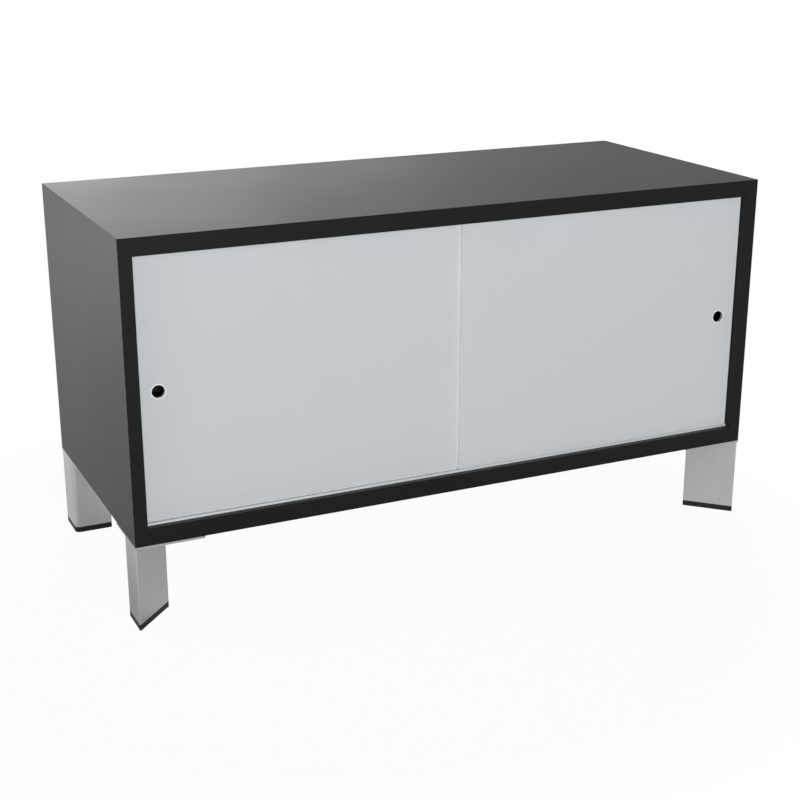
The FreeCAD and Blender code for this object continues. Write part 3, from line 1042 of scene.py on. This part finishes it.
@dataclass
class Legs:
    """The four legs, each a plate, a three-sided tube and a foot, with their screws."""

    screw_places: tuple[Pair, ...] = (
        (75 * MM, 24 * MM),
        (49.5 * MM, 24 * MM),
        (75 * MM, 75 * MM),
        (24 * MM, 75 * MM),
    )
    head_radius: float = 4 * MM
    head_height: float = 2 * MM
    head_lip: float = 0.15 * MM
    core_radius: float = 1.4 * MM
    thread_sink: float = 0.15 * MM
    crest_radius: float = 2 * MM
    tip_radius: float = 0.3 * MM
    pitch: float = 1.9 * MM
    shank_end: float = 14 * MM
    screw_length: float = 17 * MM
    recess_lines: tuple[float, ...] = (0.5 * MM, 2.3 * MM, 2.6 * MM)
    recess_depth: float = 1.4 * MM
    recess_taper: float = 0.5
    round_steps: int = 20

    def cross_recess(self, form: Form) -> None:
        """Sink the tapered cross of a screw's head into a square at height 0.

        Args:
            form: The screw, with nothing in it yet.
        """
        lines = len(self.recess_lines)
        cells = lines * 2 - 1
        # The grid's lines lie at 0.5, 1.5 and 2.5 on each side, so their whole part counts them.
        bmesh.ops.create_grid(form.shape, x_segments=cells, y_segments=cells, size=cells / 2)
        for vert in form.shape.verts:
            for axis in (0, 1):
                line = self.recess_lines[int(abs(vert.co[axis]))]
                vert.co[axis] = line if vert.co[axis] > 0 else -line
        slot, reach, _ = self.recess_lines
        cross = []
        for face in form.shape.faces:
            nearer, further = sorted(map(abs, face.calc_center_median().xy))
            if nearer < slot and further < reach:
                cross.append(face)
        sunk = bmesh.ops.extrude_face_region(form.shape, geom=cross)["geom"]
        bmesh.ops.delete(form.shape, geom=cross, context="FACES")
        verts = corners_of(sunk)
        bmesh.ops.scale(form.shape, vec=(self.recess_taper, self.recess_taper, 1.0), verts=verts)
        bmesh.ops.translate(form.shape, vec=(0.0, 0.0, self.recess_depth), verts=verts)

    def build_screws(self) -> None:
        """Build the plates' screws, each with a countersunk head, a crossed recess and a thread."""
        form = Form()
        self.cross_recess(form)
        rim_radius = self.head_radius - self.head_lip
        rim = form.to_circle([edge for edge in form.shape.edges if edge.is_boundary], rim_radius)
        profile = (
            (self.head_radius, self.head_lip),
            (self.crest_radius, self.head_height),
            (self.core_radius, self.head_height + self.pitch / 2),
            (self.core_radius, self.shank_end),
            (self.tip_radius, self.screw_length),
        )
        form.grow(rim, rim_radius, profile)
        first = self.head_height + self.pitch
        last = self.screw_length - self.pitch / 2
        radii = (self.core_radius - self.thread_sink, self.crest_radius)
        form.thread(radii, self.pitch, first, last, self.round_steps)
        form.taper(self.shank_end, self.screw_length, self.crest_radius, self.tip_radius)
        places = [corner.under_plate(*place) for corner in Corner for place in self.screw_places]
        form.repeat(map(Facing.UP.at, places))
        form.stand_for("leg_screws", "plate_screws", SCREW_STEEL.material(), "screw_steel")

    def build(self) -> None:
        """Build the screws and dress the plates, tubes and feet."""
        self.build_screws()
        tube = LEG_METAL.material()
        plate = PLATE_METAL.material()
        foot = FOOT_PLASTIC.material()
        for corner in Corner:
            dress(corner.node("plate"), plate)
            dress(corner.node("tube"), tube)
            dress(corner.node("foot"), foot)


# ---- studio
def looking(direction: Vector) -> Euler:
    """Return the turn of a lamp or a camera that looks along a direction."""
    return direction.to_track_quat("-Z", "Y").to_euler()


@dataclass(frozen=True)
class SoftBox:
    """A rectangular lamp that no camera sees."""

    name: str
    place: Place
    size: Pair
    power: float
    aim: Place = (0.0, 0.0, 0.35)

    def build(self) -> None:
        """Hang the lamp."""
        lamp = bpy.data.lights.new(self.name, "AREA")
        lamp.shape = "RECTANGLE"
        lamp.size, lamp.size_y = self.size
        lamp.energy = self.power
        holder = add_object(self.name, lamp)
        holder.location = self.place
        holder.rotation_euler = looking(Vector(self.aim) - Vector(self.place))
        holder.visible_camera = False
        log.info("hung %s", self.name)


@dataclass(frozen=True)
class FadingRow:
    """A row of lamps behind the cabinet that fades to the right, for a smooth sheen on the top."""

    powers: tuple[float, ...] = (6.2, 4.1, 2.0, 0.6)
    first_x: float = -0.1
    pitch: float = 0.5
    distance: float = 2.4
    height: float = 1.05
    lamp_height: float = 0.8
    aim: Place = (-0.2, 0.0, 0.5)

    def lamps(self) -> list[SoftBox]:
        """Make the row.

        Returns:
            Its lamps, each touching the next.
        """
        row = []
        for index, power in enumerate(self.powers):
            place = (self.first_x + index * self.pitch, self.distance, self.height)
            size = (self.pitch, self.lamp_height)
            row.append(SoftBox(f"back_row_{index + 1}", place, size, power, self.aim))
        return row


@dataclass
class Studio:
    """The floor, the white surroundings, the lamps and the camera."""

    camera_place: Place = (-0.95506, -2.02798, 0.95201)
    camera_forward: Place = (0.402449, 0.858342, -0.318251)
    lens: float = 66.72
    sensor: float = 36.0
    floor_half: float = 60.0
    floor_drop: float = 0.2 * MM
    floor_albedo: float = 0.85
    shadow_middle: Place = (-0.15, -0.1, 0.0)
    shadow_reach: Pair = (0.6, 0.85)
    shadow_share: float = 0.04
    # The shares of the painted shadow pool and ring that only reflections see.
    mirrored_share: float = 0.22
    shadow_band_radius: float = 0.39
    shadow_band_fade: Pair = (0.03, 0.1)
    shadow_band_share: float = 0.62
    ambient: float = 0.165

    def white_share(self, recipe: Recipe, camera: Number, mirrored: Number) -> Wire:
        """Return how much plain white a ray sees.

        Args:
            recipe: The recipe that gets the nodes.
            camera: The share for a camera ray.
            mirrored: The share for a glossy or transmission ray.

        Returns:
            The share of the ray in hand, 0 for the rays that carry light.
        """
        is_camera, is_glossy, is_through = (
            recipe.add("LightPath", {}, {}, f"Is {ray} Ray") for ray in ("Camera", "Glossy", "Transmission")
        )
        return (is_camera * camera).most(is_glossy.most(is_through) * mirrored)

    def build_world(self) -> None:
        """Make the surroundings: an even soft light that looks white."""
        world = bpy.data.worlds.new("studio_world")
        recipe = Recipe(world)
        strength = self.white_share(recipe, 1.0, 1.0) * (1 - self.ambient) + self.ambient
        sky = recipe.add("Background", {}, {"Color": WHITE, "Strength": strength})
        recipe.add("OutputWorld", {}, {"Surface": sky})
        bpy.context.scene.world = world

    def build_floor(self) -> None:
        """Make the pale floor, white for a viewer but for the faint shadow that it keeps, with a painted
        shadow pool and ring that only reflections see.
        """
        shape = bmesh.new()
        bmesh.ops.create_grid(shape, x_segments=1, y_segments=1, size=self.floor_half)
        bmesh.ops.translate(shape, vec=(0.0, 0.0, -self.floor_drop), verts=shape.verts)
        mesh = bpy.data.meshes.new("studio_floor")
        shape.to_mesh(mesh)
        shape.free()
        floor = add_object("studio_floor", mesh)
        recipe = Recipe.named("studio_floor")
        # Painted shadow for reflections: near the given middle and in a ring round it, glossy rays see less
        # white and more of the matt floor.
        away = recipe.vector("DISTANCE", recipe.place, self.shadow_middle, "Value")
        near = 1 - away.between(*self.shadow_reach)
        off_shadow_band = (away - self.shadow_band_radius).most(self.shadow_band_radius - away)
        shadow_band = 1 - off_shadow_band.between(*self.shadow_band_fade)
        mirrored = 1 - near * self.mirrored_share - shadow_band * self.shadow_band_share
        share = self.white_share(recipe, 1 - near * self.shadow_share, mirrored)
        matt = recipe.add("BsdfDiffuse", {}, {"Color": rgba((self.floor_albedo,) * 3)})
        white = recipe.add("Emission", {}, {"Color": WHITE, "Strength": 1.0})
        seen = recipe.add("MixShader", {}, {"Fac": share, 1: matt, 2: white})
        mesh.materials.append(recipe.finish(seen))

    def build_camera(self) -> None:
        """Set up the camera."""
        lens = bpy.data.cameras.new("camera")
        lens.lens = self.lens
        lens.sensor_width = self.sensor
        camera = add_object("camera", lens)
        camera.location = self.camera_place
        camera.rotation_euler = looking(Vector(self.camera_forward))
        bpy.context.scene.camera = camera

    def build(self) -> None:
        """Set up the whole studio."""
        bpy.context.scene.view_settings.view_transform = "Standard"
        self.build_world()
        self.build_floor()
        self.build_camera()
        for lamp in LAMPS:
            lamp.build()


LAMPS = (
    *FadingRow().lamps(),
    SoftBox("low_back_left", place=(-1.5, 1.3, 0.25), size=(0.6, 0.4), power=5.7, aim=(-0.5, 0.2, 0.1)),
    SoftBox("high_back_left", place=(-2.4, 1.2, 1.0), size=(1.0, 1.0), power=14.9, aim=(-0.4, 0.0, 0.4)),
    SoftBox("far_left", place=(-7.0, -2.0, 1.6), size=(2.4, 2.0), power=60.0),
    SoftBox("far_front", place=(0.0, -7.5, 1.2), size=(2.4, 1.6), power=201.0),
    SoftBox("far_front_left", place=(-2.2, -7.2, 1.7), size=(2.0, 1.2), power=122.0),
    SoftBox("raised_front", place=(0.0, -7.0, 3.2), size=(2.4, 1.2), power=67.0),
)


def main() -> None:
    """Build and dress the cabinet's parts in order and set up the studio."""
    logging.basicConfig(level=logging.INFO, format="%(name)s: %(message)s")
    for part in (Carcass(), Interior(), Doors(), Legs(), Studio()):
        part.build()


if __name__ == "__main__":
    main()
